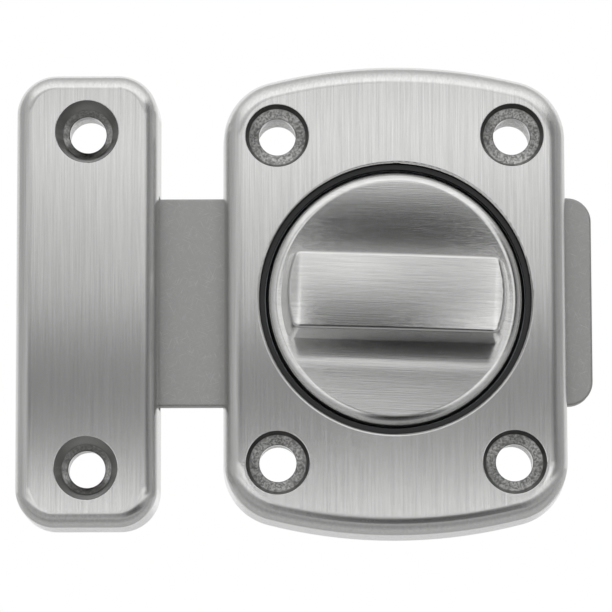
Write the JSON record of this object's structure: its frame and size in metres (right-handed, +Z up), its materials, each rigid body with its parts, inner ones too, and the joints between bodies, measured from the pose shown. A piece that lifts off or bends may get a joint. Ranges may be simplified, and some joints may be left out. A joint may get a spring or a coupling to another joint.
{
  "type": "bathroom door latch",
  "caption": "Surface-mounted bathroom door latch: a turn knob with a grip bar slides a flat bolt from an arched case into a separate keep.",
  "frame": {"origin": "on the face of the door, on the axis of the turn knob", "axes": "+X from the keep towards the bolt's tail, +Z up, +Y into the door; the front looks along -Y"},
  "size_m": [0.0796, 0.0174, 0.0656],
  "materials": {
    "brushed_casting": "brushed satin nickel plating",
    "matte_bolt": "matte tumbled grey",
    "sheet_steel": "zinc-plated sheet",
    "bright_steel": "bright drawn steel",
    "black_nylon": "moulded matte black",
    "brass": "turned brass"
  },
  "bodies": {
    "case_body": {"case": "brushed_casting", "keep": "brushed_casting", "back_plate": "sheet_steel", "bearing_ring": "black_nylon", "detent_cup_upper": "brass", "detent_cup_lower": "brass", "detent_spring_upper": "bright_steel", "detent_spring_lower": "bright_steel", "detent_ball_upper": "bright_steel", "detent_ball_lower": "bright_steel", "leaf_spring": "bright_steel", "leaf_rivet": "bright_steel", "back_plate_screw_1": "bright_steel", "back_plate_screw_2": "bright_steel", "back_plate_screw_3": "bright_steel", "back_plate_screw_4": "bright_steel"},
    "knob_body": {"turn_knob": "brushed_casting", "drive_disc": "sheet_steel", "drive_pin": "bright_steel", "knob_screw_1": "bright_steel", "knob_screw_2": "bright_steel"},
    "bolt_body": {"bolt": "matte_bolt"}
  },
  "joints": [
    {"name": "knob_turn", "type": "hinge", "parent": "case_body", "child": "knob_body", "pos_m": [0, -0.0067, 0], "axis": [0, 1, 0], "range_deg": [0, 90]},
    {"name": "bolt_slide", "type": "slide", "parent": "case_body", "child": "bolt_body", "axis": [1, 0, 0], "range_m": [0, 0.014]}
  ],
  "couplings": [
    {"joint": "bolt_slide", "follows": "knob_turn", "m_per_rad": 0.0089127}
  ]
}
